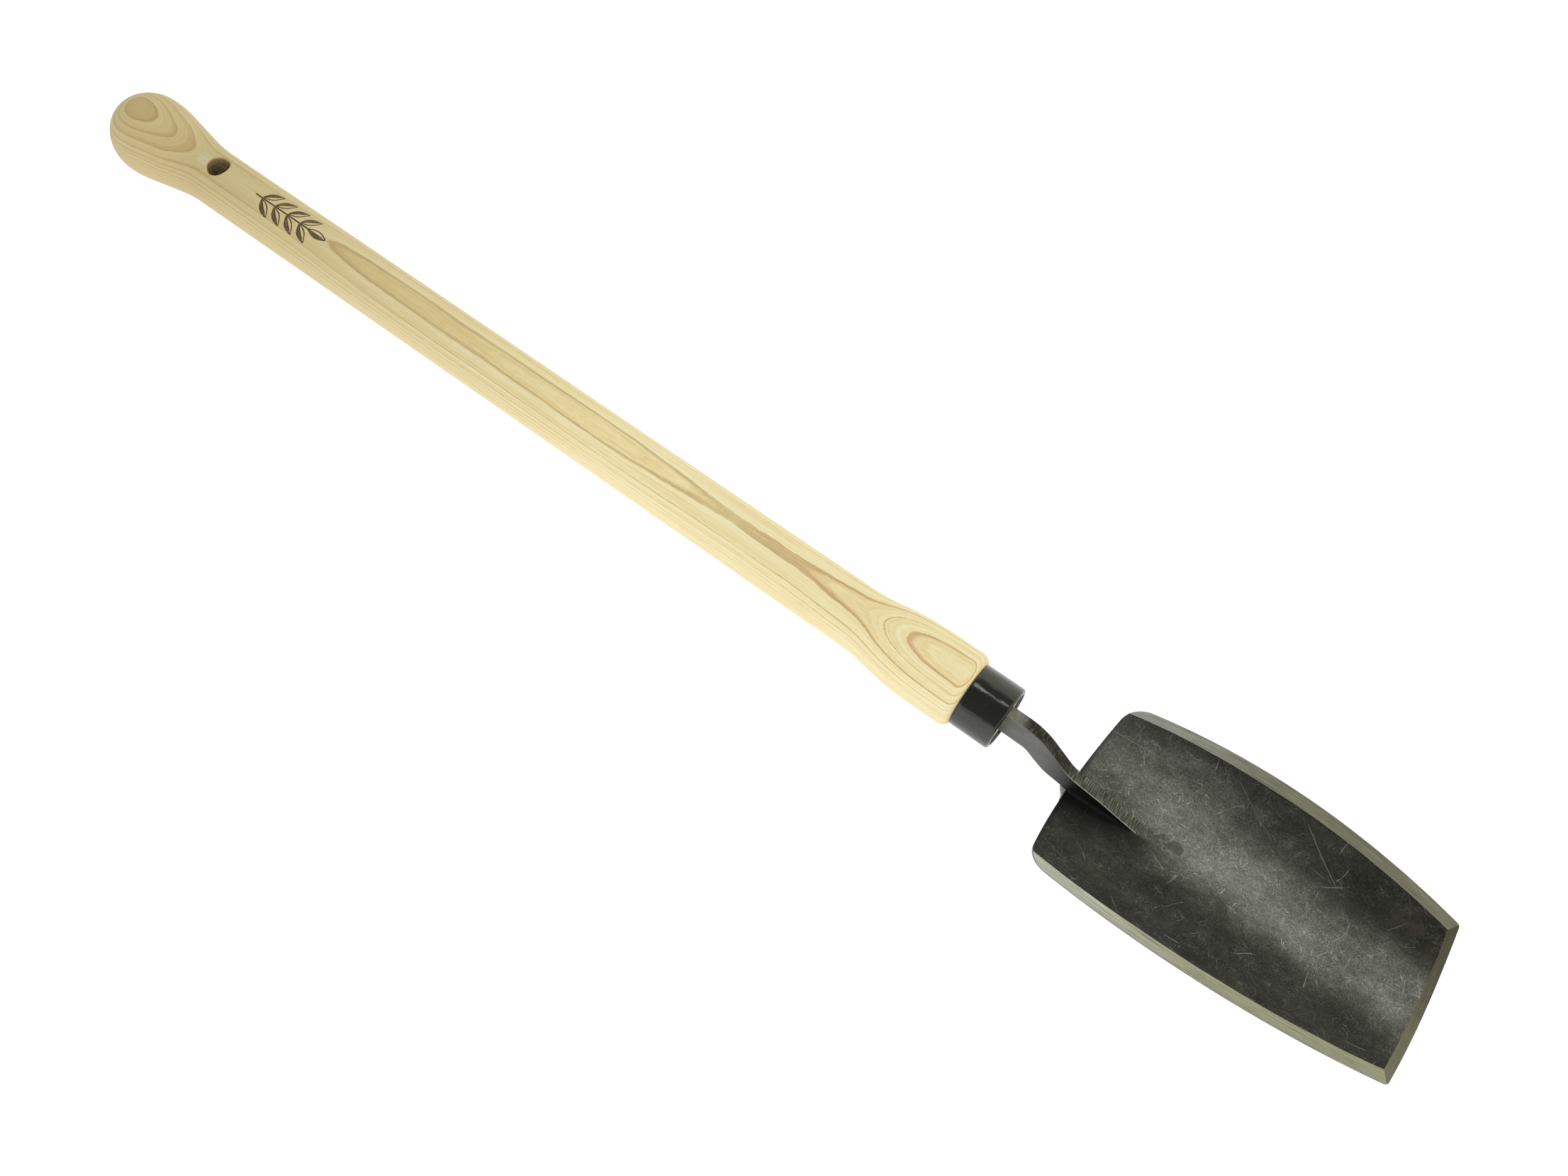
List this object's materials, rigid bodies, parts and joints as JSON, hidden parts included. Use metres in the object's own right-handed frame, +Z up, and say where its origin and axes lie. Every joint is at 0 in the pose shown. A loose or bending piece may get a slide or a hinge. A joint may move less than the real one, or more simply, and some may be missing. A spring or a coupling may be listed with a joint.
{
  "type": "garden spade",
  "caption": "Narrow hand planting spade: long turned ash handle with ball end and hang hole, black ferrule, flat steel neck, dished blade ground on its edges.",
  "frame": {"origin": "on the ground plane, below the middle of the whole tool's bounding box", "axes": "+X runs along the handle from the ball end towards the blade, +Z is up out of the hollow of the blade, +Y completes the right-handed frame across the blade"},
  "size_m": [0.7465, 0.1032, 0.042],
  "materials": {
    "ash": "pale ash, sanded smooth and oiled, satin",
    "black_ferrule": "steel sleeve with a glossy black coating",
    "bar_steel": "mid grey flat bar with sheared, cross-scored edges",
    "blade_steel": "dark oiled mill scale with fine scratches, ground lighter along the bevels",
    "weld_metal": "bright bare weld bead",
    "resin": "hardened adhesive, hidden"
  },
  "bodies": {
    "root": {"handle": "ash", "ferrule": "black_ferrule", "neck_tang": "bar_steel", "tang_adhesive": "resin", "blade": "blade_steel", "weld_rear": "weld_metal", "weld_left": "weld_metal", "weld_right": "weld_metal"}
  },
  "joints": []
}
